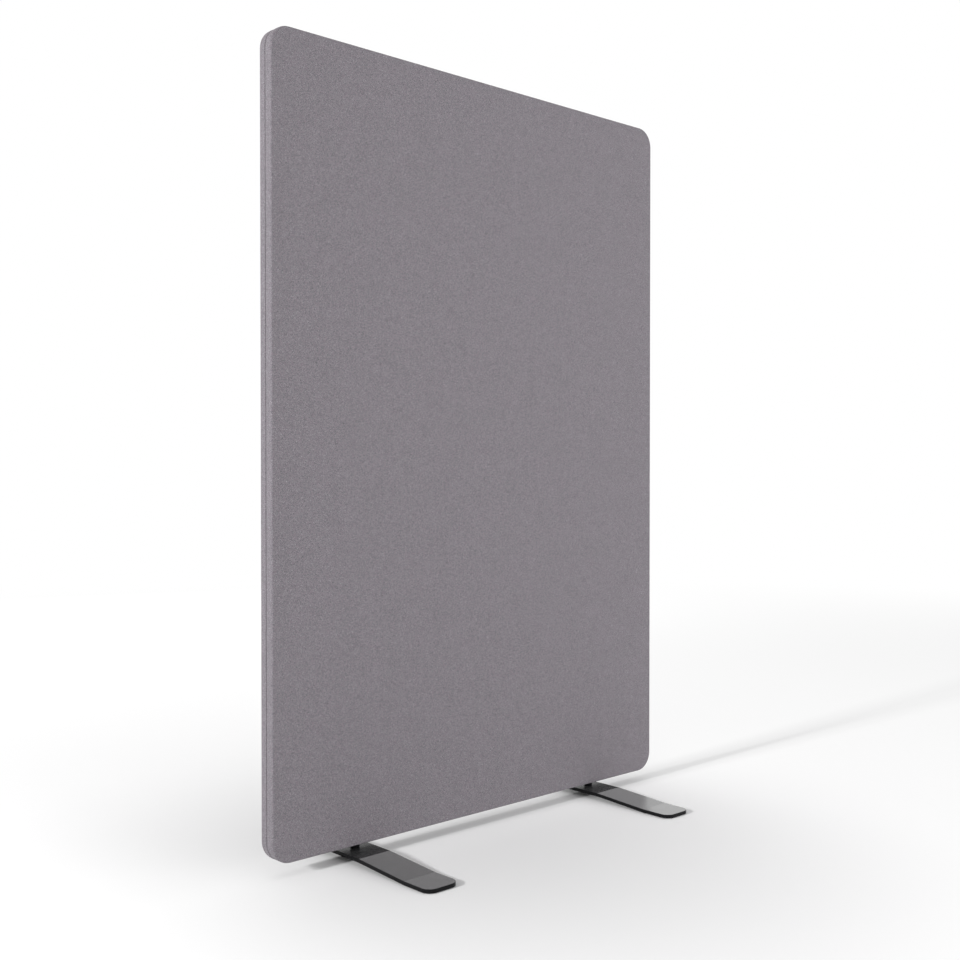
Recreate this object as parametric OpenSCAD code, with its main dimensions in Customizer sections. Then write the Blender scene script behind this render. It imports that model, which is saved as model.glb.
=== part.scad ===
// Free-standing acoustic divider screen: a fabric-covered panel on two flat steel feet.
// The origin is on the floor under the middle of the panel, +Z is up, and -Y is the front.

/* [Panel] */
// Width of the covered panel
panel_w = 1000; // [600:10:1600]
// Height of the covered panel
panel_h = 1425; // [900:5:1800]
// Thickness of the covered panel
panel_t = 35; // [30:1:50]
// Radius of the panel's corners, seen from the front
corner_r = 38; // [20:1:48]

/* [Covers] */
// Thickness of the cover fabric
cover_t = 1; // [0.6:0.1:1.5]
// Radius of the covers where they turn from a face to the edge
edge_r = 3; // [2:0.5:4]
// Width of the joint between the two covers, filled by the spline
joint_w = 2; // [1.5:0.1:3]
// Depth of the covers' turned-in edges, from the panel's outer edge
tuck_depth = 8; // [5:0.5:9]
// Depth of the spline below the panel's outer edge
spline_inset = 1; // [0.5:0.1:2]

/* [Frame] */
// Thickness of the felt board on each face
board_t = 4; // [3:0.5:6]
// Width of the two upright stiles
stile_w = 50; // [48:1:80]
// Height of the top, middle and bottom rails
rail_h = 50; // [44:1:80]
// Depth of the groove round the frame's outer edge
groove_depth = 9; // [9:0.5:12]
// Diameter of the dowels that join the frame
dowel_d = 8; // [6:1:10]
// Length of the dowels
dowel_l = 60; // [40:2:70]
// Distance between the two dowels of one joint
dowel_pitch = 20; // [16:1:24]

/* [Feet] */
// Length of each foot from front to back
foot_l = 490; // [400:5:700]
// Width of each foot
foot_w = 70; // [50:1:100]
// Thickness of the steel that the feet are bent from
foot_t = 7; // [5:0.5:12]
// Length of the raised flat in the middle of each foot
foot_mid_l = 114; // [60:1:160]
// Length of the flat at each tip of a foot
foot_tip_l = 64; // [40:1:80]
// Height of a foot's middle above its tips
foot_rise = 8; // [6:0.5:20]
// Radius of a foot's corners, seen from above
foot_corner_r = 18; // [10:1:24]
// Inner radius of the bends in a foot
foot_bend_r = 20; // [5:1:60]
// Distance from each end of the panel to the middle of a foot
foot_inset = 187; // [100:1:280]

/* [Posts] */
// Diameter of the round post between a foot and the panel
post_d = 17; // [14:0.5:20]
// Height of the gap between a foot and the panel
post_gap = 9; // [6:0.5:30]
// Size of the bevel round a post's ends
post_bevel = 0.5; // [0.2:0.1:1]

/* [Fixings] */
// Diameter of the foot bolts
bolt_d = 8; // [6:1:8]
// Length of the foot bolts under the head
bolt_l = 40; // [34:1:44]
// Diameter of the bolts' button heads
bolt_head_d = 14; // [12:0.5:16]
// Height of the bolts' button heads
bolt_head_h = 4.4; // [3:0.1:4.8]
// Width across the flats of the bolts' hexagon sockets
bolt_socket_w = 5; // [4:0.5:6]
// Depth of the bolts' hexagon sockets
bolt_socket_depth = 2.6; // [2:0.1:3]
// Diameter of the washers
washer_d = 17; // [15:0.5:20]
// Thickness of the washers
washer_t = 1.6; // [1:0.1:2]
// Outer diameter of the threaded inserts in the bottom rail
insert_d = 12; // [10:0.5:14]
// Length of the threaded inserts
insert_l = 24; // [20:1:30]
// Diameter of the inserts' flanges
insert_flange_d = 18; // [16:0.5:19]
// Thickness of the inserts' flanges
insert_flange_t = 1.5; // [1:0.1:3]

/* [Pads] */
// Thickness of the pads under the tips of the feet
pad_t = 1; // [0.5:0.1:3]
// Distance from the edge of a tip to its pad
pad_margin = 8; // [4:1:9]

/* [Hidden] */
// Clearance round dowels and inserts in the wood
wood_fit = 0.05;
// Clearance between a bolt and the threads it sits in
thread_fit = 0.05;
// Clearance round a bolt in washer, foot and post
bolt_fit = 0.5;
// Clearance between a dowel's end and the bottom of its bore
dowel_end_gap = 1;
// Clearance between the core slabs and the frame
core_fit = 0.4;
// Clearance between the spline and the bottom of the groove
spline_fit = 0.4;
// Clearance between the fabric and the post that passes through it
cover_post_fit = 0.3;
// Clearance between the fabric or spline and an insert's flange
flange_fit = 0.5;
// Size of the bevel at the end of a dowel, bolt or insert
tip_bevel = 1;
// Distance that a cut runs past the face it starts from
overrun = 2;
// Number of straight steps in one bend of a foot
bend_steps = 4;

clearance_h = pad_t + foot_rise + foot_t + post_gap;
panel_mid_z = clearance_h + panel_h / 2;
foot_x = panel_w / 2 - foot_inset;
frame_t = panel_t - 2 * (cover_t + board_t);
frame_w = panel_w - 2 * cover_t;
frame_h = panel_h - 2 * cover_t;
bay_w = frame_w - 2 * stile_w;
bay_h = (frame_h - 3 * rail_h) / 2;
groove_w = joint_w + 2 * cover_t;
rail_z = frame_h / 2 - rail_h / 2;
rail_centres = [-rail_z, 0, rail_z];
dowel_shift = groove_depth / 2;
dowel_centres = [-rail_z + dowel_shift, 0, rail_z - dowel_shift];
post_foot_z = pad_t + foot_rise + foot_t;
insert_z = clearance_h + cover_t;
foot_bottom_z = pad_t + foot_rise;

$fn = 96;

wood = "burlywood";
fibre = "ivory";
felt = "darkgray";
cloth = [0.52, 0.5, 0.52];
dark_plastic = [0.2, 0.2, 0.21];
black_steel = [0.06, 0.06, 0.065];
zinc = "silver";
pad_felt = [0.12, 0.12, 0.12];

// Outline of the panel, drawn smaller by inset on every side
module panel_outline(inset) {
    w = panel_w - 2 * inset;
    h = panel_h - 2 * inset;
    r = corner_r - inset;
    square([w - 2 * r, h], center = true);
    square([w, h - 2 * r], center = true);
    for (sx = [-1, 1], sy = [-1, 1])
        translate([sx * (w / 2 - r), sy * (h / 2 - r)]) circle(r);
}

// Stands its children up: their XY plane becomes the plane of the panel, and their +Z faces front
module upright() {
    translate([0, 0, panel_mid_z]) rotate([90, 0, 0]) children();
}

// Slab of the panel's outline, centred on the middle plane
module outline_slab(inset, thickness) {
    linear_extrude(thickness, center = true) panel_outline(inset);
}

// Sweeps a section round the panel's edge. The section's X is measured outwards
// from the centre of a corner, and its Y from the middle plane towards a face.
module edge_sweep() {
    run_x = panel_w / 2 - corner_r;
    run_z = panel_h / 2 - corner_r;
    for (turn = [0, 180]) rotate(turn) {
        translate([run_x, run_z, 0]) rotate([90, 0, 0]) linear_extrude(2 * run_z) children();
        translate([run_x, run_z, 0]) rotate_extrude(angle = 90) children();
        translate([-run_x, run_z, 0]) rotate(90) {
            rotate_extrude(angle = 90) children();
            rotate([90, 0, 0]) linear_extrude(2 * run_x) children();
        }
    }
}

// Quarter of a disc with its corner at the origin
module quarter_disc(r) {
    intersection() {
        circle(r);
        square(r);
    }
}

// Section of a cover: face, rolled edge, side strip and the turned-in part in the groove
module cover_section() {
    side_y = joint_w / 2;
    roll_y = panel_t / 2 - edge_r;
    translate([0, panel_t / 2 - cover_t]) square([corner_r - edge_r, cover_t]);
    translate([corner_r - edge_r, roll_y]) difference() {
        quarter_disc(edge_r);
        circle(edge_r - cover_t);
    }
    translate([corner_r - cover_t, side_y + cover_t])
        square([cover_t, roll_y - side_y - cover_t]);
    translate([corner_r - cover_t, side_y + cover_t]) mirror([0, 1]) quarter_disc(cover_t);
    translate([corner_r - tuck_depth, side_y]) square([tuck_depth - cover_t, cover_t]);
}

// Section of a felt board, with the rounded edge that the cover rolls over
module board_section() {
    round_r = edge_r - cover_t;
    square_x = corner_r - edge_r;
    translate([0, frame_t / 2]) square([square_x, board_t]);
    translate([square_x, frame_t / 2]) square([round_r, board_t - round_r]);
    translate([square_x, frame_t / 2 + board_t - round_r]) quarter_disc(round_r);
}

// Middle of a face inside the swept edge, from one height to another above the middle plane
module face_middle(low, high) {
    translate([-panel_w / 2 + corner_r, -panel_h / 2 + corner_r, low])
        cube([panel_w - 2 * corner_r, panel_h - 2 * corner_r, high - low]);
}

module post_holes(d, low, high) {
    for (side = [-1, 1])
        translate([side * foot_x, 0, low]) cylinder(d = d, h = high - low);
}

// The cover on the front face
module cover_shell() {
    difference() {
        upright() union() {
            edge_sweep() cover_section();
            face_middle(panel_t / 2 - cover_t, panel_t / 2);
        }
        post_holes(post_d + 2 * cover_post_fit, clearance_h - overrun, insert_z + overrun);
        post_holes(insert_flange_d + 2 * flange_fit, insert_z, insert_z + tuck_depth);
    }
}

module front_cover() {
    color(cloth) cover_shell();
}

module rear_cover() {
    color(cloth) mirror([0, 1, 0]) cover_shell();
}

module board_shell() {
    upright() union() {
        edge_sweep() board_section();
        face_middle(frame_t / 2, frame_t / 2 + board_t);
    }
}

module front_board() {
    color(felt) board_shell();
}

module rear_board() {
    color(felt) mirror([0, 1, 0]) board_shell();
}

// Groove that runs round the whole frame and takes the covers' edges and the spline
module frame_groove() {
    difference() {
        outline_slab(0, groove_w);
        outline_slab(cover_t + groove_depth, groove_w + overrun);
    }
}

// Places a pair of children at every joint between a stile and a rail, pointing along X
module at_dowels() {
    for (side = [-1, 1], z = dowel_centres, offset_z = [-dowel_pitch / 2, dowel_pitch / 2])
        translate([side * bay_w / 2, z + offset_z, 0]) rotate([0, 90, 0]) children();
}

module dowel_bores() {
    bore_l = dowel_l + 2 * dowel_end_gap;
    at_dowels() translate([0, 0, -bore_l / 2]) cylinder(d = dowel_d + 2 * wood_fit, h = bore_l);
}

// Cuts one timber to the panel's outline, with its groove and dowel bores
module timber() {
    difference() {
        intersection() {
            outline_slab(cover_t, frame_t);
            children();
        }
        frame_groove();
        dowel_bores();
    }
}

module stile(side) {
    color(wood) upright() timber()
        translate([side * (bay_w + stile_w) / 2, 0, 0])
            cube([stile_w, frame_h, frame_t], center = true);
}

module rail(level) {
    translate([0, rail_centres[level], 0]) cube([bay_w, rail_h, frame_t], center = true);
}

module left_stile() {
    stile(-1);
}

module right_stile() {
    stile(1);
}

module top_rail() {
    color(wood) upright() timber() rail(2);
}

module middle_rail() {
    color(wood) upright() timber() rail(1);
}

module bottom_rail() {
    color(wood) difference() {
        upright() timber() rail(0);
        post_holes(insert_d + 2 * wood_fit, insert_z - overrun, insert_z + insert_l + dowel_end_gap);
        post_holes(insert_flange_d + 2 * wood_fit, insert_z - overrun, insert_z + insert_flange_t);
    }
}

module frame_dowels() {
    color(wood) upright() at_dowels() {
        body_l = dowel_l - 2 * tip_bevel;
        translate([0, 0, -body_l / 2]) cylinder(d = dowel_d, h = body_l);
        translate([0, 0, body_l / 2]) cylinder(d1 = dowel_d, d2 = dowel_d - 2 * tip_bevel, h = tip_bevel);
        translate([0, 0, -dowel_l / 2]) cylinder(d1 = dowel_d - 2 * tip_bevel, d2 = dowel_d, h = tip_bevel);
    }
}

// Slab of sound-absorbing fibre that fills one bay of the frame
module core(level) {
    color(fibre) upright() translate([0, level * (rail_h + bay_h) / 2, 0])
        cube([bay_w - 2 * core_fit, bay_h - 2 * core_fit, frame_t], center = true);
}

module upper_core() {
    core(1);
}

module lower_core() {
    core(-1);
}

module spline_ring() {
    upright() difference() {
        outline_slab(spline_inset, joint_w);
        outline_slab(cover_t + groove_depth - spline_fit, joint_w + overrun);
    }
}

// Space along the panel's bottom edge, between or beside the posts
module bottom_space(half_w) {
    translate([-half_w, -joint_w, clearance_h]) cube([2 * half_w, 2 * joint_w, corner_r]);
}

module edge_spline() {
    color(dark_plastic) difference() {
        spline_ring();
        bottom_space(foot_x + insert_flange_d / 2 + flange_fit);
    }
}

module bottom_spline() {
    color(dark_plastic) intersection() {
        spline_ring();
        bottom_space(foot_x - insert_flange_d / 2 - flange_fit);
    }
}

module insert(side) {
    color(zinc) translate([side * foot_x, 0, insert_z]) difference() {
        union() {
            cylinder(d = insert_flange_d, h = insert_flange_t);
            cylinder(d = insert_d, h = insert_l - tip_bevel);
            translate([0, 0, insert_l - tip_bevel])
                cylinder(d1 = insert_d, d2 = insert_d - 2 * tip_bevel, h = tip_bevel);
        }
        translate([0, 0, -overrun]) cylinder(d = bolt_d + 2 * thread_fit, h = insert_l + 2 * overrun);
    }
}

// Turned sleeve that stands on the foot, passes through the cover and meets the insert
module post(side) {
    post_h = post_gap + cover_t;
    color(black_steel) translate([side * foot_x, 0, post_foot_z]) difference() {
        union() {
            cylinder(d1 = post_d - 2 * post_bevel, d2 = post_d, h = post_bevel);
            translate([0, 0, post_bevel]) cylinder(d = post_d, h = post_h - 2 * post_bevel);
            translate([0, 0, post_h - post_bevel])
                cylinder(d1 = post_d, d2 = post_d - 2 * post_bevel, h = post_bevel);
        }
        translate([0, 0, -overrun]) cylinder(d = bolt_d + 2 * bolt_fit, h = post_h + 2 * overrun);
    }
}

foot_slope_l = foot_l / 2 - foot_tip_l - foot_mid_l / 2;
foot_slope = atan2(foot_rise, foot_slope_l);

// Points of a bend that turns down, or of one that turns level again, about the corner [y, z]
function bend_down(y, z, r) = [
    for (step = [0:bend_steps])
        let (a = foot_slope * step / bend_steps)
            [y - r * tan(foot_slope / 2) + r * sin(a), z - r + r * cos(a)]
];
function bend_level(y, z, r) = [
    for (step = [0:bend_steps])
        let (a = foot_slope * (1 - step / bend_steps))
            [y + r * tan(foot_slope / 2) - r * sin(a), z + r - r * cos(a)]
];

// Upper or lower line of a foot from its middle to its tip, at a height above the lower face
function foot_line(height) =
    let (shift = height * tan(foot_slope / 2), outer = foot_bend_r + foot_t)
        concat(
            bend_down(foot_mid_l / 2 + shift, foot_rise + height, foot_bend_r + height),
            bend_level(foot_l / 2 - foot_tip_l + shift, height, outer - height),
            [[foot_l / 2, height]]
        );
function reversed(list) = [for (i = [len(list) - 1:-1:0]) list[i]];
function mirrored(list) = [for (p = list) [-p[0], p[1]]];

module foot_side() {
    top = foot_line(foot_t);
    bottom = foot_line(0);
    polygon(concat(top, reversed(bottom), mirrored(bottom), reversed(mirrored(top))));
}

module rounded_plan(w, l, r) {
    square([w - 2 * r, l], center = true);
    square([w, l - 2 * r], center = true);
    for (sx = [-1, 1], sy = [-1, 1])
        translate([sx * (w / 2 - r), sy * (l / 2 - r)]) circle(r);
}

// Flat bar with rounded corners, bent so that it rests on its two tips
module foot(side) {
    color(black_steel) translate([side * foot_x, 0, pad_t]) difference() {
        intersection() {
            rotate([90, 0, 90]) linear_extrude(foot_w, center = true) foot_side();
            linear_extrude(foot_rise + foot_t) rounded_plan(foot_w, foot_l, foot_corner_r);
        }
        cylinder(d = bolt_d + 2 * bolt_fit, h = foot_rise + foot_t + overrun);
    }
}

module washer(side) {
    color(zinc) translate([side * foot_x, 0, foot_bottom_z - washer_t]) difference() {
        cylinder(d = washer_d, h = washer_t);
        translate([0, 0, -overrun]) cylinder(d = bolt_d + 2 * bolt_fit, h = washer_t + 2 * overrun);
    }
}

// Button-head bolt, pushed up through washer, foot and post into the insert
module bolt(side) {
    head_top_z = foot_bottom_z - washer_t;
    dome_r = (bolt_head_h * bolt_head_h + bolt_head_d * bolt_head_d / 4) / (2 * bolt_head_h);
    color(zinc) translate([side * foot_x, 0, head_top_z]) {
        difference() {
            intersection() {
                translate([0, 0, dome_r - bolt_head_h]) sphere(dome_r);
                translate([0, 0, -bolt_head_h]) cylinder(d = bolt_head_d, h = bolt_head_h);
            }
            translate([0, 0, -bolt_head_h - overrun])
                cylinder(d = bolt_socket_w / cos(30), h = bolt_socket_depth + overrun, $fn = 6);
        }
        cylinder(d = bolt_d, h = bolt_l - tip_bevel);
        translate([0, 0, bolt_l - tip_bevel])
            cylinder(d1 = bolt_d, d2 = bolt_d - 2 * tip_bevel, h = tip_bevel);
    }
}

module pad(side, end) {
    pad_l = foot_tip_l - 2 * pad_margin;
    color(pad_felt) translate([side * foot_x, end * (foot_l - foot_tip_l) / 2, 0])
        linear_extrude(pad_t) rounded_plan(foot_w - 2 * pad_margin, pad_l, foot_corner_r - pad_margin);
}

left_stile();
right_stile();
top_rail();
middle_rail();
bottom_rail();
frame_dowels();
upper_core();
lower_core();
front_board();
rear_board();
front_cover();
rear_cover();
edge_spline();
bottom_spline();
insert(-1);  // left_insert
post(-1);  // left_post
foot(-1);  // left_foot
washer(-1);  // left_washer
bolt(-1);  // left_bolt
pad(-1, -1);  // left_front_pad
pad(-1, 1);  // left_rear_pad
insert(1);  // right_insert
post(1);  // right_post
foot(1);  // right_foot
washer(1);  // right_washer
bolt(1);  // right_bolt
pad(1, -1);  // right_front_pad
pad(1, 1);  // right_rear_pad
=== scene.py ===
import bmesh
import bpy
import math
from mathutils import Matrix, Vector, noise


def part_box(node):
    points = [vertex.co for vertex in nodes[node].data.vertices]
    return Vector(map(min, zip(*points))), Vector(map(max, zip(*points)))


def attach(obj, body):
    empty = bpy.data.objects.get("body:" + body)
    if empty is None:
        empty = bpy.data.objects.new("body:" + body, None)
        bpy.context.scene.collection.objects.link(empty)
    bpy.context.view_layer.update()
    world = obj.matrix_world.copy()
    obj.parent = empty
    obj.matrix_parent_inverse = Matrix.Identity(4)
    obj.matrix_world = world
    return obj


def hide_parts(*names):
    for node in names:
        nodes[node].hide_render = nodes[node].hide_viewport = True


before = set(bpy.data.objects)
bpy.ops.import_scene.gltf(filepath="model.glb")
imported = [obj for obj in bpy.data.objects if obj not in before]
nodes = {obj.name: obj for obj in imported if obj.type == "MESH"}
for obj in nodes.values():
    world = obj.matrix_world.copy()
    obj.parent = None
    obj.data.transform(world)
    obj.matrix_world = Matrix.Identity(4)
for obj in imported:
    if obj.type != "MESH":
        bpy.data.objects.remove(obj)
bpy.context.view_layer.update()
print("frame loaded:", len(nodes), "nodes")

quarterTurn = math.pi / 2
perMetre = 1000               # millimetres in a metre
noiseRange = (0.3, 0.7)       # most of a noise texture's values lie between these


# Meshes and what they wear.

def circleOfVertices(mesh, x, radius, z, count):
    # ring of vertices about an upright line at x, half way through the panel
    turns = [2 * math.pi * i / count for i in range(count)]
    return [mesh.verts.new((x + radius * math.cos(turn), radius * math.sin(turn), z))
            for turn in turns]


def joinRings(mesh, first, second):
    # faces between two rings, with a triangle where a ring has a vertex twice
    count = len(first)
    for i in range(count):
        after = (i + 1) % count
        corners = list(dict.fromkeys([first[i], first[after], second[after], second[i]]))
        if len(corners) > 2:
            mesh.faces.new(corners)


def finishMesh(name, mesh, sharpAngle=40):
    data = bpy.data.meshes.new(name)
    for face in mesh.faces:
        face.smooth = True
    for edge in mesh.edges:
        if len(edge.link_faces) == 2 and edge.calc_face_angle(0) > math.radians(sharpAngle):
            edge.smooth = False
    mesh.to_mesh(data)
    mesh.free()
    made = bpy.data.objects.new(name, data)
    bpy.context.scene.collection.objects.link(made)
    return made


def applyModifiers(made):
    # keeps the shape that the modifiers give and drops them
    bpy.context.view_layer.update()
    graph = bpy.context.evaluated_depsgraph_get()
    data = bpy.data.meshes.new_from_object(
        made.evaluated_get(graph), preserve_all_data_layers=True, depsgraph=graph)
    made.modifiers.clear()
    made.data = data
    data.name = made.name


def wear(made, material):
    made.data.materials.clear()
    made.data.materials.append(material)


def standIn(made, material, node):
    # shows a made piece in the place of a CAD node
    wear(made, material)
    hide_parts(node)
    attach(made, "root")


# Material nodes. A look is a piece's dictionary: what it says of the shader holds all over.

shaderSockets = {
    "roughness": "Roughness",
    "specular": "Specular IOR Level",
    "metallic": "Metallic",
    "ior": "IOR",
    "sheen": "Sheen Weight",
    "sheenRoughness": "Sheen Roughness",
    "sheenTint": "Sheen Tint",
}


def startMaterial(name, look):
    material = bpy.data.materials.new(name)
    material.use_nodes = True
    tree = material.node_tree
    surface = tree.nodes["Principled BSDF"]
    for key, socket in shaderSockets.items():
        if key in look:
            surface.inputs[socket].default_value = look[key]
    return material, tree, surface


def feed(tree, socket, value):
    if isinstance(value, bpy.types.NodeSocket):
        tree.links.new(value, socket)
    else:
        socket.default_value = value


def calc(tree, operation, first, second=0.0, third=0.0):
    node = tree.nodes.new("ShaderNodeMath")
    node.operation = operation
    for socket, value in zip(node.inputs, (first, second, third)):
        feed(tree, socket, value)
    return node.outputs[0]


def scaled(tree, value, factor):
    return calc(tree, "MULTIPLY", value, factor)


def vectorCalc(tree, operation, first, second):
    node = tree.nodes.new("ShaderNodeVectorMath")
    node.operation = operation
    feed(tree, node.inputs[0], first)
    feed(tree, node.inputs[1], second)
    return node.outputs["Value" if operation == "DISTANCE" else "Vector"]


def join(tree, x, y, z):
    node = tree.nodes.new("ShaderNodeCombineXYZ")
    for socket, value in zip(node.inputs, (x, y, z)):
        feed(tree, socket, value)
    return node.outputs[0]


def split(tree, value):
    node = tree.nodes.new("ShaderNodeSeparateXYZ")
    feed(tree, node.inputs[0], value)
    return node.outputs


def grain(tree, place, scale=1.0, detail=2.0, rough=0.5, distortion=0.0):
    node = tree.nodes.new("ShaderNodeTexNoise")
    feed(tree, node.inputs["Vector"], place)
    node.inputs["Scale"].default_value = scale
    node.inputs["Detail"].default_value = detail
    node.inputs["Roughness"].default_value = rough
    node.inputs["Distortion"].default_value = distortion
    return node.outputs


def ranged(tree, value, given, wanted=(0.0, 1.0)):
    # moves a value from one range to another
    node = tree.nodes.new("ShaderNodeMapRange")
    feed(tree, node.inputs["Value"], value)
    node.inputs["From Min"].default_value, node.inputs["From Max"].default_value = given
    node.inputs["To Min"].default_value, node.inputs["To Max"].default_value = wanted
    return node.outputs[0]


def mixColours(tree, share, first, second, kind="MIX"):
    node = tree.nodes.new("ShaderNodeMix")
    node.data_type = "RGBA"
    node.blend_type = kind
    feed(tree, node.inputs[0], share)
    for socket, value in ((node.inputs[6], first), (node.inputs[7], second)):
        feed(tree, socket, (*value, 1.0) if isinstance(value, tuple) else value)
    return node.outputs[2]


def mixNumbers(tree, share, first, second):
    node = tree.nodes.new("ShaderNodeMix")
    feed(tree, node.inputs[0], share)
    for socket, value in ((node.inputs[2], first), (node.inputs[3], second)):
        feed(tree, socket, value)
    return node.outputs[0]


def tinted(tree, colour, tint):
    return mixColours(tree, 1.0, colour, tint, "MULTIPLY")


def shaded(tree, colour, shade):
    return tinted(tree, colour, join(tree, shade, shade, shade))


def lighter(colour, times):
    return tuple(times * part for part in colour)


def colourSteps(tree, value, steps):
    node = tree.nodes.new("ShaderNodeValToRGB")
    feed(tree, node.inputs[0], value)
    marks = node.color_ramp.elements
    while len(marks) < len(steps):
        marks.new(0.5)
    for mark, (position, colour) in zip(marks, steps):
        mark.position = position
        mark.color = (*colour, 1.0)
    return node.outputs[0]


def millimetres(tree, stretch=(1, 1, 1)):
    # place on the object, in millimetres
    node = tree.nodes.new("ShaderNodeTexCoord")
    factors = tuple(perMetre * x for x in stretch)
    return vectorCalc(tree, "MULTIPLY", node.outputs["Object"], factors)


def finishSurface(tree, surface, look, colour, height, roughness=None):
    # colour, relief and roughness from nodes; a look's relief is its height and its strength
    feed(tree, surface.inputs["Base Color"], colour)
    if roughness is not None:
        feed(tree, surface.inputs["Roughness"], roughness)
    node = tree.nodes.new("ShaderNodeBump")
    node.inputs["Distance"].default_value, node.inputs["Strength"].default_value = look["relief"]
    feed(tree, node.inputs["Height"], height)
    feed(tree, surface.inputs["Normal"], node.outputs[0])


# The panel's outline, which the covers and the boards share, is taken from the two cover nodes.

panel = {
    "cornerRadius": 0.038,    # corners of the panel, seen from the front
    "frameDepth": 0.0125,     # half of the timber's thickness
    "cellsAcross": 48,        # mesh cells along the top and bottom edges
    "cellsUp": 68,            # mesh cells along the upright edges
    "cornerSteps": 14,
    "sidesApart": 40.0,       # keeps the weave of the two sides different
}

coverLow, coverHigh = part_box("front_cover")
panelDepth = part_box("rear_cover")[1].y                   # half of the panel's thickness
panelMiddle = (coverLow.z + coverHigh.z) / 2
runAcross = coverHigh.x - panel["cornerRadius"]          # from the middle to a corner's centre
runUp = (coverHigh.z - coverLow.z) / 2 - panel["cornerRadius"]


def ringPoints(radius):
    # points (x, z) round the panel, at a radius about the corners' centres
    across, up, steps = panel["cellsAcross"], panel["cellsUp"], panel["cornerSteps"]
    left, right = -runAcross - radius, runAcross + radius
    bottom, top = -runUp - radius, runUp + radius
    # each side's cells, start and end, then the centre and first angle of the corner after it
    sides = [
        (across, (-runAcross, bottom), (runAcross, bottom), (runAcross, -runUp), -90),
        (up, (right, -runUp), (right, runUp), (runAcross, runUp), 0),
        (across, (runAcross, top), (-runAcross, top), (-runAcross, runUp), 90),
        (up, (left, runUp), (left, -runUp), (-runAcross, -runUp), 180),
    ]
    points = []
    for cells, start, end, centre, angle in sides:
        for i in range(cells):
            share = i / cells
            points.append((start[0] + (end[0] - start[0]) * share,
                           start[1] + (end[1] - start[1]) * share))
        for i in range(steps):
            turn = math.radians(angle + 90 * i / steps)
            points.append((centre[0] + radius * math.cos(turn),
                           centre[1] + radius * math.sin(turn)))
    return [(x, z + panelMiddle) for x, z in points]


def capGrid(mesh, place):
    # grid of vertices over the middle of a face, and its rim in the order of ringPoints
    across, up, steps = panel["cellsAcross"], panel["cellsUp"], panel["cornerSteps"]
    grid = []
    for i in range(across + 1):
        x = runAcross * (2 * i / across - 1)
        heights = [panelMiddle + runUp * (2 * j / up - 1) for j in range(up + 1)]
        grid.append([mesh.verts.new(place(x, z)) for z in heights])
    for i in range(across):
        for j in range(up):
            mesh.faces.new((grid[i][j], grid[i + 1][j], grid[i + 1][j + 1], grid[i][j + 1]))
    rim = [grid[i][0] for i in range(across)] + [grid[across][0]] * steps
    rim += [grid[across][j] for j in range(up)] + [grid[across][up]] * steps
    rim += [grid[across - i][up] for i in range(across)] + [grid[0][up]] * steps
    rim += [grid[0][up - j] for j in range(up)] + [grid[0][0]] * steps
    return rim


def panelSolid(name, section, facing, ripple=None):
    # closes a shell round the panel's outline. section: (radius, depth from the middle plane,
    # distance along the cloth's cut), from one cap to the other; facing is -1 for the front
    mesh = bmesh.new()
    cut = {}                  # where each vertex lies on the flat cloth

    def place(x, z, depth, flat=True):
        lift = ripple(x, z) if ripple and flat else 0.0
        return Vector((x, facing * (depth + lift), z))

    def cap(depth):
        rim = capGrid(mesh, lambda x, z: place(x, z, depth))
        for vertex in mesh.verts:
            cut.setdefault(vertex, (vertex.co.x, vertex.co.z))
        return rim

    rings = [cap(section[0][1])]
    for row, (radius, depth, along) in enumerate(section):
        ring = []
        flat = row in (0, len(section) - 1)
        for (x, z), cutPoint in zip(ringPoints(radius), ringPoints(along)):
            vertex = mesh.verts.new(place(x, z, depth, flat))
            cut[vertex] = cutPoint
            ring.append(vertex)
        rings.append(ring)
    rings.append(cap(section[-1][1]))
    for first, second in zip(rings, rings[1:]):
        joinRings(mesh, first, second)
    layer = mesh.loops.layers.float_vector.new("cutPlace")
    for face in mesh.faces:
        for loop in face.loops:
            u, v = cut[loop.vert]
            loop[layer] = Vector((u * perMetre, v * perMetre, facing * panel["sidesApart"]))
    bmesh.ops.recalc_face_normals(mesh, faces=mesh.faces)
    return finishMesh(name, mesh)


# Fabric covers: two shells of cloth, stretched over the boards and tucked into the groove
# round the frame.

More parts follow.
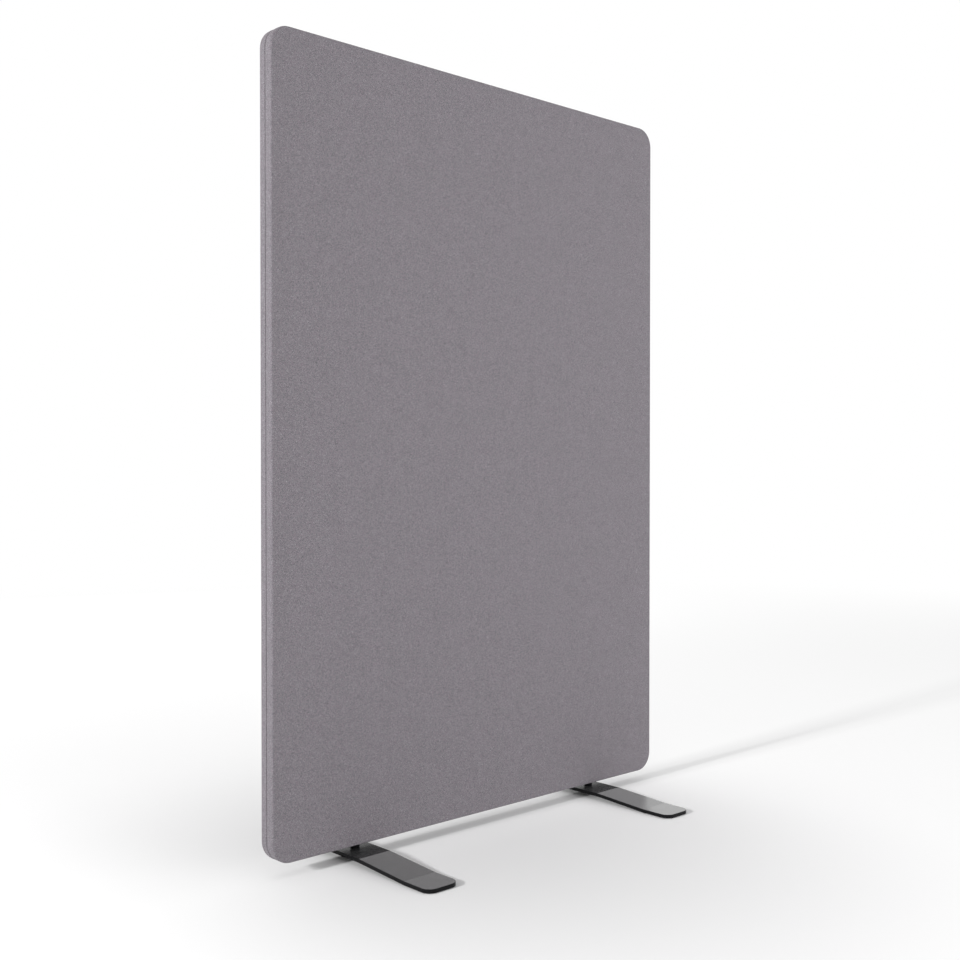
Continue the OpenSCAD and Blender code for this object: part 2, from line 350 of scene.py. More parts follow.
cloth = {
    "thickness": 0.001,
    "rollRadius": 0.003,             # where a cover turns from the face to the edge
    "rollSteps": 7,
    "edgeBelly": 0.00016,            # how far the edge bulges
    "edgeSteps": 5,
    "lipRadius": 0.001,              # where it turns into the groove
    "lipLeast": 0.00012,             # the same, on the inside of the cloth
    "lipSteps": 5,
    "jointWidth": 0.002,
    "tuckDepth": 0.008,
    "tuckStops": (0.4, 0.8, 1.0),
    "ripple": 0.00018,               # how far the stretched face wanders
    "rippleWaves": (3.1, 2.3),       # per metre, across and up
    "rippleFine": (2.7, 0.5),        # how much finer and weaker the second waves are
    "rippleInwards": 0.6,            # how far below the flat face it lies, in the same measure
    "rippleSeed": 1.7,               # takes the waves of one cover away from the other's
    "slotRadius": 0.0088,            # slot round a post, through the cloth
    "tuckSlotRadius": 0.0095,        # the same, through the tuck above it
    "slotStep": 0.0001,              # between the two
    "slotBelow": 0.004,              # how far the cutter goes below the panel's lower edge
    "slotAbove": 0.0105,             # and above it
    "slotSides": 40,
    "roughness": 0.88,
    "specular": 0.18,
    "sheen": 0.12,
    "sheenRoughness": 0.45,
    "sheenTint": (0.8, 0.78, 0.8, 1.0),
    "relief": (0.00022, 0.8),
    "threadPitch": 1.07,             # millimetres from thread to thread
    "threadWander": ((0.11, 0.9), (1.7, 0.6)),    # scale, and reach in millimetres
    "threadRound": 0.6,              # low is boxy and high is sharp, across a thread
    "threadDip": 0.35,               # the same along it, where it goes under the next one
    "fibreSlant": (1.6, 4.5),        # along and across a yarn, by its twist
    "fibreRun": 0.7,
    "fibreRaise": 0.25,
    "fibreShade": (0.76, 1.24),
    "paintedGapShade": ((0.0, 0.6), (0.425, 1.09)),      # thread height, and the painted shade that darkens the low gaps
    "toneRun": 0.62,                 # how fast a yarn changes tone along its length
    "toneApart": 3.71,               # keeps neighbouring yarns different
    "yarnTones": [(0.32, (0.079, 0.070, 0.081)), (0.50, (0.173, 0.160, 0.176)),
                  (0.52, (0.173, 0.160, 0.176)), (0.70, (0.322, 0.302, 0.326))],
    "greenYarn": (0.147, 0.160, 0.159),
    "greenShare": ((0.52, 0.72), (0.0, 0.75)),
    "redYarn": (0.211, 0.144, 0.181),
    "redShare": ((0.54, 0.72), (0.0, 0.70)),
    "patchScale": 0.022,
    "patchTones": [(0.3, (0.98, 0.986, 0.982)), (0.7, (1.02, 1.014, 1.018))],
}


def melangeWeave(name):
    material, tree, surface = startMaterial(name, cloth)
    source = tree.nodes.new("ShaderNodeAttribute")
    source.attribute_name = "cutPlace"
    place = source.outputs["Vector"]
    # the threads wander a little, and are uneven in thickness
    shifted = place
    for scale, reach in cloth["threadWander"]:
        drift = grain(tree, place, scale)["Color"]
        shifted = vectorCalc(tree, "ADD", shifted,
                             vectorCalc(tree, "MULTIPLY", drift, (reach, reach, 0.0)))
    perThread = 1 / cloth["threadPitch"]
    x, y, side = split(tree, vectorCalc(tree, "MULTIPLY", shifted, (perThread, perThread, 1.0)))
    column, row = calc(tree, "FLOOR", x), calc(tree, "FLOOR", y)
    warpOnTop = calc(tree, "FLOORED_MODULO", calc(tree, "ADD", column, row), 2.0)

    def arch(value):
        # 0 at both edges of a thread and 1 in its middle
        return calc(tree, "SINE", scaled(tree, calc(tree, "FRACT", value), math.pi))

    def yarnHeight(across, along):
        # round across the yarn, and dipping where it goes under the next one
        return scaled(tree, calc(tree, "POWER", across, cloth["threadRound"]),
                      calc(tree, "POWER", along, cloth["threadDip"]))

    def yarnFibres(across, along):
        # fibres along the yarn, slanted by its twist
        slantAlong, slantAcross = cloth["fibreSlant"]
        slanted = calc(tree, "MULTIPLY_ADD", along, slantAlong, scaled(tree, across, slantAcross))
        spot = join(tree, slanted, scaled(tree, along, cloth["fibreRun"]), side)
        return grain(tree, spot, rough=0.6)["Fac"]

    def onTop(weft, warp, mix=mixNumbers):
        # takes the yarn that shows here
        return mix(tree, warpOnTop, weft, warp)

    archX, archY = arch(x), arch(y)
    threadHeight = onTop(yarnHeight(archY, archX), yarnHeight(archX, archY))
    fibres = onTop(yarnFibres(y, x), yarnFibres(x, y))
    # each yarn changes tone along its own length
    apart, run = cloth["toneApart"], cloth["toneRun"]
    warpYarn = grain(tree, join(tree, scaled(tree, column, apart), scaled(tree, y, run), side))
    weftYarn = grain(tree, join(tree, scaled(tree, x, run), scaled(tree, row, apart), side))
    tone, green, red = split(tree, onTop(weftYarn["Color"], warpYarn["Color"], mixColours))
    colour = colourSteps(tree, tone, cloth["yarnTones"])
    colour = mixColours(tree, ranged(tree, green, *cloth["greenShare"]), colour, cloth["greenYarn"])
    colour = mixColours(tree, ranged(tree, red, *cloth["redShare"]), colour, cloth["redYarn"])
    # soft patches, painted shade in the low gaps between the threads, and the fibres' own tone
    patch = grain(tree, place, cloth["patchScale"], detail=3.0, rough=0.55)["Fac"]
    colour = tinted(tree, colour, colourSteps(tree, patch, cloth["patchTones"]))
    # painted shade: the colour darkens where the threads lie low
    gapShadow = ranged(tree, threadHeight, *cloth["paintedGapShade"])
    streaks = ranged(tree, fibres, noiseRange, cloth["fibreShade"])
    colour = shaded(tree, colour, scaled(tree, gapShadow, streaks))
    height = calc(tree, "MULTIPLY_ADD", fibres, cloth["fibreRaise"], threadHeight)
    finishSurface(tree, surface, cloth, colour, height)
    return material


def coverSection():
    # from the outer face round the edge into the groove, and back along the inside
    corner, half = panel["cornerRadius"], cloth["jointWidth"] / 2
    roll, lip = cloth["rollRadius"], cloth["lipRadius"]
    edgeStart, edgeEnd = panelDepth - roll, half + lip

    def layer(inset):
        along = corner - roll
        rows = [(along, panelDepth - inset, along)]
        radius = roll - inset
        for i in range(1, cloth["rollSteps"] + 1):
            turn = quarterTurn * i / cloth["rollSteps"]
            rows.append((corner - roll + radius * math.sin(turn),
                         edgeStart + radius * math.cos(turn), along + roll * turn))
        along += roll * quarterTurn
        for i in range(1, cloth["edgeSteps"] + 1):
            share = i / cloth["edgeSteps"]
            belly = cloth["edgeBelly"] * math.sin(math.pi * share)
            rows.append((corner - inset + belly, edgeStart + (edgeEnd - edgeStart) * share,
                         along + (edgeStart - edgeEnd) * share))
        along += edgeStart - edgeEnd
        radius = max(lip - inset, cloth["lipLeast"])
        for i in range(1, cloth["lipSteps"] + 1):
            turn = quarterTurn * i / cloth["lipSteps"]
            rows.append((corner - lip + radius * math.cos(turn),
                         edgeEnd - radius * math.sin(turn), along + lip * turn))
        along += lip * quarterTurn
        for share in cloth["tuckStops"]:
            reach = (cloth["tuckDepth"] - lip) * share
            rows.append((corner - lip - reach, half + inset, along + reach))
        return rows

    return layer(0.0) + layer(cloth["thickness"])[::-1]


def clothRipple(seed):
    across, up = cloth["rippleWaves"]
    finer, weaker = cloth["rippleFine"]

    def ripple(x, z):
        spot = Vector((x * across + seed, z * up, seed * cloth["rippleSeed"]))
        waves = noise.noise(spot) + weaker * noise.noise(spot * finer)
        return cloth["ripple"] * (waves - cloth["rippleInwards"])

    return ripple


def postCutter():
    # one cutter for the slots round both posts
    mesh = bmesh.new()
    bottom = coverLow.z
    step = bottom + cloth["thickness"]
    stack = [(cloth["slotRadius"], bottom - cloth["slotBelow"]), (cloth["slotRadius"], step),
             (cloth["tuckSlotRadius"], step + cloth["slotStep"]),
             (cloth["tuckSlotRadius"], bottom + cloth["slotAbove"])]
    for side in ("left", "right"):
        low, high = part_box(side + "_post")
        x = (low.x + high.x) / 2
        rings = [circleOfVertices(mesh, x, radius, z, cloth["slotSides"]) for radius, z in stack]
        for first, second in zip(rings, rings[1:]):
            joinRings(mesh, first, second)
        mesh.faces.new(rings[0])
        mesh.faces.new(rings[-1])
    bmesh.ops.recalc_face_normals(mesh, faces=mesh.faces)
    return finishMesh("slotCutter", mesh)


weave = melangeWeave("melangeWeave")
cutter = postCutter()
for where, facing, seed in (("front", -1, 3.0), ("rear", 1, 11.0)):
    sheet = panelSolid(where + "_cover_cloth", coverSection(), facing, clothRipple(seed))
    slots = sheet.modifiers.new("slots", "BOOLEAN")
    slots.object = cutter
    slots.operation = "DIFFERENCE"
    slots.solver = "EXACT"
    applyModifiers(sheet)
    standIn(sheet, weave, where + "_cover")
bpy.data.objects.remove(cutter)


# Feet: flat steel, bent four times.

foot = {
    "thickness": 0.007,
    "middleLength": 0.114,    # raised flat under the post
    "tipLength": 0.064,
    "rise": 0.008,
    "bendRadius": 0.020,
    "bendCut": 0.0005,        # from cut to cut across the plate, where it bends
    "bendCuts": 5,            # such cuts on each side of a bend's middle
    "flatCut": 0.02,          # from cut to cut elsewhere
    "flatCuts": 11,
    "cutsApart": 0.004,       # least distance between the two kinds
    "cornerRadius": 0.018,
    "cornerSteps": 12,
    "holeRadius": 0.0045,
    "holeSides": 32,
    "edgeBreak": 0.0006,      # rounding of the cut edges
    "edgeSteps": 4,
    "sharpEdge": 1.2,         # radians, from which an edge is rounded
    # satin black coat of the posts and of the plates' edges and undersides; on a plate's raised
    # middle it is also painted shade, darker than the outer spans
    "satinCoat": {
        "colour": (0.0035, 0.0035, 0.004),
        "speckTimes": 2.1,    # how much lighter the specks are
        "speckScale": 6.0,    # per millimetre, as the other scales
        "speckRange": (0.42, 0.68),
        "speckRaise": 0.12,
        "peelScale": 0.9,
        "dustScale": 0.05,
        "relief": (0.00003, 0.5),
        "roughness": 0.27,
        "dustRoughness": (-0.03, 0.05),    # less and more than the roughness
        "speckRoughness": (-0.02, 0.02),
        "specular": 0.10,
        "sheen": 0.05,
        "sheenRoughness": 0.35,
        "sheenTint": (1.0, 1.0, 1.0, 1.0),
    },
    "spanNormal": 0.95,       # how far up a face of the outer spans points
    "paintedLightLook": {         # on the outer spans, a lighter coat as painted reflection
        "colour": (0.010, 0.010, 0.010),
        "gritTimes": 2.2,
        "gritScale": 3.2,
        "gritRange": (0.40, 0.65),
        "cloudScale": 0.04,
        "relief": (0.000012, 0.5),
        "roughness": 0.22,
        "cloudRoughness": (0.19, 0.25),
        "specular": 0.5,
        "ior": 1.9,
        "sheen": 0.45,
        "sheenRoughness": 0.35,
        "sheenTint": (1.0, 1.0, 1.0, 1.0),
    },
}

footLow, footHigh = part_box("left_foot")
footLength, footWidth = footHigh.y - footLow.y, footHigh.x - footLow.x
upperBend, lowerBend = foot["middleLength"] / 2, footLength / 2 - foot["tipLength"]
footSlope = math.atan2(foot["rise"], lowerBend - upperBend)


def footHeight(distance, height):
    # height above the tips' lower face of a line in the plate, at a distance from the middle
    half = math.tan(footSlope / 2)
    upperRadius = foot["bendRadius"] + height
    lowerRadius = foot["bendRadius"] + foot["thickness"] - height
    upperAt, lowerAt = upperBend + height * half, lowerBend + height * half
    top, bottom = foot["rise"] + height, height
    if distance < upperAt - upperRadius * half:
        return top
    if distance < upperAt + upperRadius * (math.sin(footSlope) - half):
        turn = math.asin((distance - upperAt + upperRadius * half) / upperRadius)
        return top - upperRadius * (1 - math.cos(turn))
    if distance > lowerAt + lowerRadius * half:
        return bottom
    if distance > lowerAt + lowerRadius * (half - math.sin(footSlope)):
        turn = math.asin((lowerAt + lowerRadius * half - distance) / lowerRadius)
        return bottom + lowerRadius * (1 - math.cos(turn))
    return top - (distance - upperAt) * math.tan(footSlope)


def roundedRectangle(mesh, width, length, corner, steps):
    ring = []
    for signX, signY, start in ((1, 1, 0), (-1, 1, 90), (-1, -1, 180), (1, -1, 270)):
        for i in range(steps + 1):
            turn = math.radians(start + 90 * i / steps)
            x = signX * (width / 2 - corner) + corner * math.cos(turn)
            y = signY * (length / 2 - corner) + corner * math.sin(turn)
            ring.append(mesh.verts.new((x, y, 0.0)))
    return ring


def cutStations():
    # where the plate is cut across: close together where it bends, and well apart elsewhere
    cuts = range(-foot["bendCuts"], foot["bendCuts"] + 1)
    close = [0.0] + [bend + foot["bendCut"] * i for bend in (upperBend, lowerBend) for i in cuts]
    apart = [foot["flatCut"] * i for i in range(1, foot["flatCuts"] + 1)]
    return close + [x for x in apart if all(abs(x - y) > foot["cutsApart"] for y in close)]


def footPlate(name, node):
    low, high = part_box(node)
    middle = (low.x + high.x) / 2
    mesh = bmesh.new()
    outline = roundedRectangle(mesh, footWidth, footLength,
                               foot["cornerRadius"], foot["cornerSteps"])
    hole = circleOfVertices(mesh, 0.0, foot["holeRadius"], 0.0, foot["holeSides"])
    rims = []
    for loop in (outline, hole):
        for i, vertex in enumerate(loop):
            rims.append(mesh.edges.new((vertex, loop[(i + 1) % len(loop)])))
    bmesh.ops.triangle_fill(mesh, edges=rims, use_beauty=True)
    lifted = bmesh.ops.extrude_face_region(mesh, geom=list(mesh.faces))["geom"]
    for vertex in [item for item in lifted if isinstance(item, bmesh.types.BMVert)]:
        vertex.co.z = foot["thickness"]
    bmesh.ops.recalc_face_normals(mesh, faces=mesh.faces)
    edges = [edge for edge in mesh.edges
             if len(edge.link_faces) == 2 and edge.calc_face_angle(0) > foot["sharpEdge"]]
    bmesh.ops.bevel(mesh, geom=edges, offset=foot["edgeBreak"], segments=foot["edgeSteps"],
                    profile=0.5, affect="EDGES")
    for station in cutStations():
        for y in (-station, station):
            geometry = list(mesh.verts) + list(mesh.edges) + list(mesh.faces)
            bmesh.ops.bisect_plane(mesh, geom=geometry, dist=1e-6,
                                   plane_co=(0, y, 0), plane_no=(0, 1, 0))
    for vertex in mesh.verts:
        x, y, z = vertex.co
        share = z / foot["thickness"]
        lower, upper = footHeight(abs(y), 0.0), footHeight(abs(y), foot["thickness"])
        vertex.co = (x + middle, y, low.z + lower + (upper - lower) * share)
    made = finishMesh(name, mesh, sharpAngle=50)
    evened = made.modifiers.new("evenShading", "WEIGHTED_NORMAL")
    evened.keep_sharp = True
    applyModifiers(made)
    return made


def satinPowderCoat(name):
    look = foot["satinCoat"]
    material, tree, surface = startMaterial(name, look)
    place = millimetres(tree)
    peel = grain(tree, place, look["peelScale"])["Fac"]
    dust = grain(tree, place, look["dustScale"], detail=3.0, rough=0.6)["Fac"]
    speck = grain(tree, place, look["speckScale"], detail=1.0)["Fac"]
    colour = mixColours(tree, ranged(tree, speck, look["speckRange"]), look["colour"],
                        lighter(look["colour"], look["speckTimes"]))
    less, more = look["dustRoughness"]
    dusty = ranged(tree, dust, noiseRange, (look["roughness"] + less, look["roughness"] + more))
    roughness = calc(tree, "ADD", dusty, ranged(tree, speck, noiseRange, look["speckRoughness"]))
    height = calc(tree, "MULTIPLY_ADD", speck, look["speckRaise"], peel)
    finishSurface(tree, surface, look, colour, height, roughness)
    return material


def paintedLightPowderCoat(name):
    # painted reflection: lighter than the satin coat, and greys where it is seen at a low angle
    look = foot["paintedLightLook"]
    material, tree, surface = startMaterial(name, look)
    place = millimetres(tree)
    grit = grain(tree, place, look["gritScale"], rough=0.6)["Fac"]
    cloud = grain(tree, place, look["cloudScale"])["Fac"]
    colour = mixColours(tree, ranged(tree, grit, look["gritRange"]), look["colour"],
                        lighter(look["colour"], look["gritTimes"]))
    finishSurface(tree, surface, look, colour, grit,
                  ranged(tree, cloud, noiseRange, look["cloudRoughness"]))
    return material


def paintLightOnOuterSpans(plate, material):
    # the upper face beyond the inner bends gets the lighter coat, as painted reflection; the raised
    # middle keeps the dark satin coat, as painted shade
    plate.data.materials.append(material)
    for face in plate.data.polygons:
        if face.normal.z > foot["spanNormal"] and abs(face.center.y) > upperBend:
            face.material_index = 1


satin, spanLightCoat = satinPowderCoat("satinPowderCoat"), paintedLightPowderCoat("paintedLightPowderCoat")
for side in ("left", "right"):
    plate = footPlate(side + "_foot_plate", side + "_foot")
    standIn(plate, satin, side + "_foot")
    paintLightOnOuterSpans(plate, spanLightCoat)
    wear(nodes[side + "_post"], satin)
print("feet and posts made")


# Felt boards behind the covers.

board = {
    "gap": 0.00002,           # between a board and its cover
    "round": 0.002,           # front edge
    "roundSteps": 6,
    "ease": 0.0004,           # back edge
    "easeAt": 0.3,            # where its middle row of vertices lies
    "roughness": 0.95,
    "specular": 0.15,
    "sheen": 0.2,
    "relief": (0.0003, 0.6),
    "fleckScale": 1.4,
    "fleckFlat": 2.2,         # how much flatter than long the flecks are
    "fleckTones": [(0.34, (0.06, 0.06, 0.062)), (0.48, (0.20, 0.20, 0.205)),
                   (0.62, (0.24, 0.24, 0.245)), (0.74, (0.50, 0.50, 0.50))],
    "cloudScale": 0.03,
    "cloudTones": [(0.3, (0.92, 0.92, 0.92)), (0.7, (1.06, 1.06, 1.06))],
}


def boardSection():
    back, inset = panel["frameDepth"], cloth["thickness"]
    front = panelDepth - inset - board["gap"]
    outer = panel["cornerRadius"] - inset - board["gap"]
    ease, roll = board["ease"], board["round"]
    rows = [(outer - ease, back, outer - ease),
            (outer - board["easeAt"] * ease, back + board["easeAt"] * ease, outer),
            (outer, back + ease, outer)]
    for i in range(board["roundSteps"] + 1):
        turn = quarterTurn * i / board["roundSteps"]
        rows.append((outer - roll + roll * math.cos(turn), front - roll + roll * math.sin(turn),
                     outer + roll * turn))
    return rows


def pressedFelt(name):
    material, tree, surface = startMaterial(name, board)
    place = millimetres(tree)
    flat = vectorCalc(tree, "MULTIPLY", place, (1.0, 1.0, board["fleckFlat"]))
    fleck = grain(tree, flat, board["fleckScale"], detail=3.0, rough=0.65)["Fac"]
    cloud = grain(tree, place, board["cloudScale"])["Fac"]
    colour = tinted(tree, colourSteps(tree, fleck, board["fleckTones"]),
                    colourSteps(tree, cloud, board["cloudTones"]))
    finishSurface(tree, surface, board, colour, fleck)
    return material


felt = pressedFelt("pressedFelt")
for where, facing in (("front", -1), ("rear", 1)):
    made = panelSolid(where + "_felt_board", boardSection(), facing)
    standIn(made, felt, where + "_board")
print("felt boards made")


# Fibre slabs that fill the frame.

slab = {
    "round": 0.004,
    "easedAt": (0.0, 0.25, 0.6),    # rows of vertices in a rounded edge, as shares of its radius
    "cell": 0.022,
    "fuzz": 0.0006,           # how uneven the faces are
    "fuzzWaves": 55.0,        # per metre
    "fuzzInwards": 0.4,
    "roughness": 0.9,
    "specular": 0.2,
    "sheen": 0.3,
    "relief": (0.0012, 0.8),
    "strandStretch": (0.5, 1.6, 1.0),
    "strandScale": 1.1,
    "strandTones": [(0.3, (0.46, 0.45, 0.42)), (0.55, (0.68, 0.67, 0.63)),
                    (0.75, (0.82, 0.81, 0.78))],
    "clumpScale": 0.12,
    "clumpRaise": 0.8,
}


def softBlock(name, low, high):
    # block with rounded edges and slightly uneven faces
    radius = slab["round"]
    mesh = bmesh.new()

    def stations(start, end):
        run = end - start - 2 * radius
        count = max(1, round(run / slab["cell"]))
        eased = [radius * share for share in slab["easedAt"]]
        inside = [start + radius + run * i / count for i in range(count + 1)]
        return [start + x for x in eased] + inside + [end - x for x in reversed(eased)]

    lines = [stations(low[axis], high[axis]) for axis in range(3)]
    found = {}

    def vertexAt(spot):
        key = tuple(round(x, 7) for x in spot)
        if key not in found:
            held = Vector([min(max(spot[a], low[a] + radius), high[a] - radius) for a in range(3)])
            away = (Vector(spot) - held).normalized()
            waves = 0.5 * noise.noise(Vector(spot) * slab["fuzzWaves"])
            lift = min(slab["fuzz"] * (waves - slab["fuzzInwards"]), 0.0)
            found[key] = mesh.verts.new(held + away * (radius + lift))
        return found[key]

    for axis in range(3):
        a, b = [other for other in range(3) if other != axis]
        for level in (low[axis], high[axis]):
            for i in range(len(lines[a]) - 1):
                for j in range(len(lines[b]) - 1):
                    corners = []
                    for da, db in ((0, 0), (1, 0), (1, 1), (0, 1)):
                        spot = [0.0, 0.0, 0.0]
                        spot[axis], spot[a], spot[b] = level, lines[a][i + da], lines[b][j + db]
                        corners.append(vertexAt(spot))
                    mesh.faces.new(corners)
    bmesh.ops.recalc_face_normals(mesh, faces=mesh.faces)
    return finishMesh(name, mesh)


def bondedFibre(name):
    material, tree, surface = startMaterial(name, slab)
    place = millimetres(tree)
    drawn = vectorCalc(tree, "MULTIPLY", place, slab["strandStretch"])
    strands = grain(tree, drawn, slab["strandScale"], detail=4.0, rough=0.7, distortion=1.2)["Fac"]
    clumps = grain(tree, place, slab["clumpScale"], detail=3.0, rough=0.6)["Fac"]
    height = calc(tree, "MULTIPLY_ADD", clumps, slab["clumpRaise"], strands)
    finishSurface(tree, surface, slab, colourSteps(tree, strands, slab["strandTones"]), height)
    return material


fibre = bondedFibre("bondedFibre")
for where in ("upper", "lower"):
    made = softBlock(where + "_fibre_slab", *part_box(where + "_core"))
    standIn(made, fibre, where + "_core")
print("fibre slabs made")


# Timber frame: stiles with the grain upright and rails with the grain level.

timber = {
    "roughness": 0.55,
    "specular": 0.35,
    "relief": (0.0001, 0.5),
    "ringStretch": (0.06, 0.0035),    # across the grain and along it
    "ringScale": 1.4,
    "bendScale": 0.6,
    "bendReach": (1.3, 1.3, 1.3),
    "ringBands": 60.0,
    "ringRaise": 0.2,
    "ringTones": [(0.0, (0.58, 0.41, 0.235)), (0.7, (0.55, 0.37, 0.20)),
                  (1.0, (0.40, 0.235, 0.105))],
    "poreStretch": (1.4, 0.05),
    "poreShade": (0.88, 1.08),
    "poreRoughness": (0.62, 0.48),
}


def planedTimber(name, grainAxis):
    material, tree, surface = startMaterial(name, timber)

    def stretched(across, along):
        return millimetres(tree, tuple(along if axis == grainAxis else across for axis in "xyz"))

    place = stretched(*timber["ringStretch"])
    drift = grain(tree, place, timber["bendScale"])["Color"]
    bent = vectorCalc(tree, "ADD", place, vectorCalc(tree, "MULTIPLY", drift, timber["bendReach"]))
    rings = grain(tree, bent, timber["ringScale"], detail=1.0, rough=0.3)["Fac"]
    bands = calc(tree, "SINE", scaled(tree, rings, timber["ringBands"]))
    pores = grain(tree, stretched(*timber["poreStretch"]), rough=0.6)["Fac"]
    colour = colourSteps(tree, ranged(tree, bands, (-1.0, 1.0)), timber["ringTones"])
    colour = shaded(tree, colour, ranged(tree, pores, noiseRange, timber["poreShade"]))
    height = calc(tree, "MULTIPLY_ADD", bands, timber["ringRaise"], pores)
    finishSurface(tree, surface, timber, colour, height,
                  ranged(tree, pores, noiseRange, timber["poreRoughness"]))
    return material


uprightTimber, levelTimber = planedTimber("uprightTimber", "z"), planedTimber("levelTimber", "x")
for node in ("left_stile", "right_stile"):
    wear(nodes[node], uprightTimber)
for node in ("top_rail", "middle_rail", "bottom_rail"):
    wear(nodes[node], levelTimber)


# Dowels of the frame.

dowel = {
    "roughness": 0.5,
    "specular": 0.35,
    "relief": (0.00012, 0.5),
    "fibreStretch": (0.12, 2.4, 2.4),
    "fibreTones": [(0.32, (0.46, 0.30, 0.17)), (0.55, (0.62, 0.44, 0.27)),
                   (0.7, (0.70, 0.53, 0.35))],
    "fibreRoughness": (0.58, 0.44),
}


def dowelWood(name):
    material, tree, surface = startMaterial(name, dowel)
    fibres = grain(tree, millimetres(tree, dowel["fibreStretch"]), detail=3.0, rough=0.6)["Fac"]
    finishSurface(tree, surface, dowel, colourSteps(tree, fibres, dowel["fibreTones"]), fibres,
                  ranged(tree, fibres, noiseRange, dowel["fibreRoughness"]))
    return material


wear(nodes["frame_dowels"], dowelWood("dowelWood"))


# Splines that hold the covers in the groove: drawn cord with faint lines along its length.

spline = {
    "roughness": 0.55,
    "specular": 0.4,
    "relief": (0.00006, 0.5),
    "lineScale": 6.0,
    "mottleScale": 0.35,
    "mottleRaise": 0.3,
    "mottleTones": [(0.3, (0.098, 0.092, 0.099)), (0.7, (0.122, 0.115, 0.124))],
    "mottleRoughness": (0.48, 0.62),
}


def drawnPlastic(name):
    material, tree, surface = startMaterial(name, spline)
    place = millimetres(tree)
    mottle = grain(tree, place, spline["mottleScale"], detail=3.0, rough=0.6)["Fac"]
    depth = split(tree, place)["Y"]
    lines = grain(tree, join(tree, scaled(tree, depth, spline["lineScale"]), 0.0, 0.0))["Fac"]
    height = calc(tree, "MULTIPLY_ADD", mottle, spline["mottleRaise"], lines)
    finishSurface(tree, surface, spline, colourSteps(tree, mottle, spline["mottleTones"]), height,
                  ranged(tree, mottle, noiseRange, spline["mottleRoughness"]))
    return material


plastic = drawnPlastic("drawnPlastic")
for node in ("edge_spline", "bottom_spline"):
    wear(nodes[node], plastic)
print("frame, dowels and splines finished")


# Inserts, washers and bolts.

fixing = {
    "colour": (0.55, 0.565, 0.58),
    "warmColour": (0.62, 0.60, 0.53),
    "bloomScale": 0.5,
    "bloomRange": (0.4, 0.7),
    "markScale": 2.2,
    "markStretch": (1.0, 1.0, 6.0),
    "markRoughness": (-0.08, 0.12),    # less and more than the roughness
    "relief": (0.00002, 0.4),
    "roughness": 0.33,
    "metallic": 1.0,
}


def zincPlate(name):
    material, tree, surface = startMaterial(name, fixing)
    place = millimetres(tree)
    bloom = grain(tree, place, fixing["bloomScale"], detail=3.0, rough=0.6)["Fac"]
    drawn = vectorCalc(tree, "MULTIPLY", place, fixing["markStretch"])
    marks = grain(tree, drawn, fixing["markScale"], rough=0.6)["Fac"]
    warmth = ranged(tree, bloom, fixing["bloomRange"])
    colour = mixColours(tree, warmth, fixing["colour"], fixing["warmColour"])
    less, more = fixing["markRoughness"]
    roughness = (fixing["roughness"] + less, fixing["roughness"] + more)
    finishSurface(tree, surface, fixing, colour, marks, ranged(tree, marks, noiseRange, roughness))
    return material


# Pads under the tips of the feet.

pad = {
    "colour": (0.018, 0.018, 0.018),
    "crumbTimes": 2.6,        # how much lighter the crumbs are
    "crumbScale": 2.5,
    "crumbRange": (0.45, 0.7),
    "crumbRoughness": (0.88, 0.72),
    "relief": (0.00012, 0.6),
    "roughness": 0.8,
    "specular": 0.3,
}


def denseRubber(name):
    material, tree, surface = startMaterial(name, pad)
    crumb = grain(tree, millimetres(tree), pad["crumbScale"], detail=3.0, rough=0.65)["Fac"]
    colour = mixColours(tree, ranged(tree, crumb, pad["crumbRange"]), pad["colour"],
                        lighter(pad["colour"], pad["crumbTimes"]))
    finishSurface(tree, surface, pad, colour, crumb,
                  ranged(tree, crumb, noiseRange, pad["crumbRoughness"]))
    return material


zinc, rubber = zincPlate("zincPlate"), denseRubber("denseRubber")
for side in ("left", "right"):
    for piece in ("_insert", "_washer", "_bolt"):
        wear(nodes[side + piece], zinc)
    for piece in ("_front_pad", "_rear_pad"):
        wear(nodes[side + piece], rubber)
print("fixings and pads finished")


# Floor, light and camera.

studio = {
    "floorSize": 24.0,
    "floorCells": 8,
    "floorLevel": -0.0002,
    "shadedFloorNear": (0.785, 0.785, 0.785),
    "floorFar": (0.97, 0.97, 0.97),
    "palePlace": (-0.17, -0.11, 0.0),    # the floor's colour turns paler away from here: painted shade near the screen
    "paleReach": (0.04, 0.98),
    "whitePlace": (-0.3, -0.9, 0.0),     # painted light: for the camera and in reflections it glows white away from here, in two steps
    "brightReach": (0.95, 2.6),
    "whiteReach": (2.4, 6.0),
    "brightShare": 0.35,
    "roughness": 0.8,                    # of the floor
    "specular": 0.0,
    "roomLight": 0.62,
    "keyPlace": (-7.0, -0.05, 2.6),
    "keySize": (0.5, 0.7),
    "keyPower": 468.0,
    "keyAim": (0, 0, 0.1),
    "fillPlace": (1.5, -4.4, 0.72),
    "fillSize": (4.0, 0.8),
    "fillPower": 142.0,
    "fillAim": (0, 0, 0.7),
    "backPlace": (1.5, 4.4, 0.8),
    "backSize": (4.0, 0.8),
    "backPower": 85.0,
    "backAim": (0, 0, 0.7),
    "lens": 45.762,
    "sensor": 36.0,
    "farthest": 100.0,
    "cameraPlace": (-1.64128, -1.75975, 0.70821),
    "cameraTurn": -42.919,
    "cameraDip": 0.766,
}


def seenDirectly(tree):
    # 1 for what the camera sees straight, in a reflection or through something clear
    path = tree.nodes.new("ShaderNodeLightPath").outputs
    seen = calc(tree, "ADD", path["Is Camera Ray"], path["Is Glossy Ray"])
    return calc(tree, "MINIMUM", calc(tree, "ADD", seen, path["Is Transmission Ray"]), 1.0)


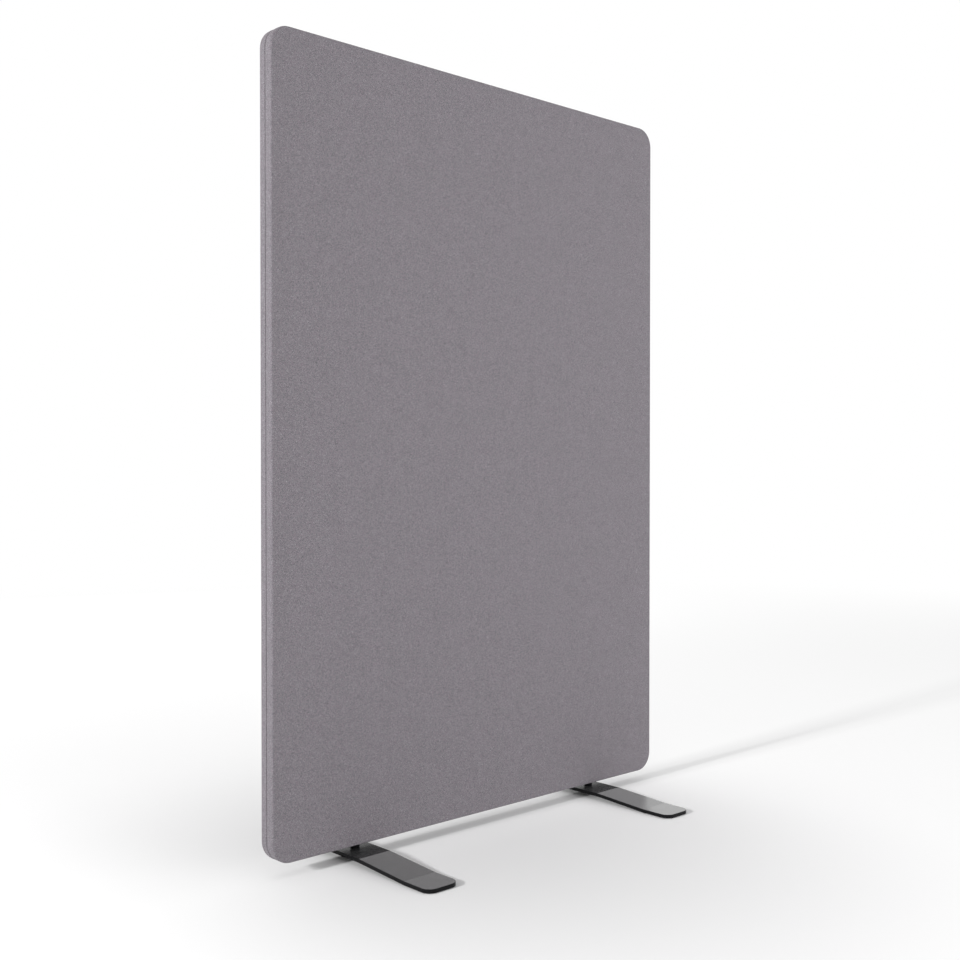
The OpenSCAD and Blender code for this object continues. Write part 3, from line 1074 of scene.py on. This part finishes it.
def shadedGlowingFloor(name):
    # painted shade: a darker, pale colour near the screen; painted light: the floor glows plain
    # white far away, and partly nearer
    material, tree, surface = startMaterial(name, studio)
    place = tree.nodes.new("ShaderNodeTexCoord").outputs["Object"]

    def eased(middle, reach):
        # 0 near a place and 1 beyond the reach from it
        away = vectorCalc(tree, "DISTANCE", place, middle)
        share = ranged(tree, away, reach)
        share.node.interpolation_type = "SMOOTHSTEP"
        return share

    pale = eased(studio["palePlace"], studio["paleReach"])
    feed(tree, surface.inputs["Base Color"],
         mixColours(tree, pale, studio["shadedFloorNear"], studio["floorFar"]))
    share, middle = studio["brightShare"], studio["whitePlace"]
    bright = scaled(tree, eased(middle, studio["brightReach"]), share)
    far = scaled(tree, eased(middle, studio["whiteReach"]), 1 - share)
    white = scaled(tree, calc(tree, "ADD", bright, far), seenDirectly(tree))
    # painted light: the floor glows white for the camera, in reflections and through something
    # clear
    paintedGlow = tree.nodes.new("ShaderNodeEmission")
    paintedGlow.inputs["Strength"].default_value = 1.0
    blend = tree.nodes.new("ShaderNodeMixShader")
    for socket, value in zip(blend.inputs, (white, surface.outputs[0], paintedGlow.outputs[0])):
        feed(tree, socket, value)
    feed(tree, tree.nodes["Material Output"].inputs["Surface"], blend.outputs[0])
    return material


def lightRoom():
    world = bpy.data.worlds.new("studioLight")
    bpy.context.scene.world = world
    world.use_nodes = True
    tree = world.node_tree
    room = tree.nodes["Background"]
    room.inputs["Color"].default_value = (1.0, 1.0, 1.0, 1.0)
    feed(tree, room.inputs["Strength"],
         ranged(tree, seenDirectly(tree), (0.0, 1.0), (studio["roomLight"], 1.0)))


def softLamp(name, mirrored):
    # soft lamp with a flat front, turned to a point
    lamp = bpy.data.lights.new(name + "Lamp", "AREA")
    lamp.shape = "RECTANGLE"
    lamp.size, lamp.size_y = studio[name + "Size"]
    lamp.energy = studio[name + "Power"]
    stand = bpy.data.objects.new(name + "Lamp", lamp)
    stand.location = studio[name + "Place"]
    aim = Vector(studio[name + "Aim"]) - stand.location
    stand.rotation_euler = aim.to_track_quat("-Z", "Y").to_euler()
    stand.visible_glossy = mirrored
    bpy.context.scene.collection.objects.link(stand)


def placeCamera():
    lens = bpy.data.cameras.new("studioCamera")
    lens.lens = studio["lens"]
    lens.sensor_width = studio["sensor"]
    lens.clip_end = studio["farthest"]
    camera = bpy.data.objects.new("studioCamera", lens)
    camera.location = studio["cameraPlace"]
    camera.rotation_euler = (math.radians(90 - studio["cameraDip"]), 0,
                             math.radians(studio["cameraTurn"]))
    bpy.context.scene.collection.objects.link(camera)
    bpy.context.scene.camera = camera


mesh = bmesh.new()
bmesh.ops.create_grid(mesh, x_segments=studio["floorCells"], y_segments=studio["floorCells"],
                      size=studio["floorSize"] / 2)
floor = finishMesh("studioFloor", mesh)
floor.location.z = studio["floorLevel"]
wear(floor, shadedGlowingFloor("shadedGlowingFloor"))

lightRoom()
softLamp("key", mirrored=True)
softLamp("fill", mirrored=False)
softLamp("back", mirrored=False)
placeCamera()
bpy.context.scene.view_settings.view_transform = "Standard"
print("floor, light and camera set")
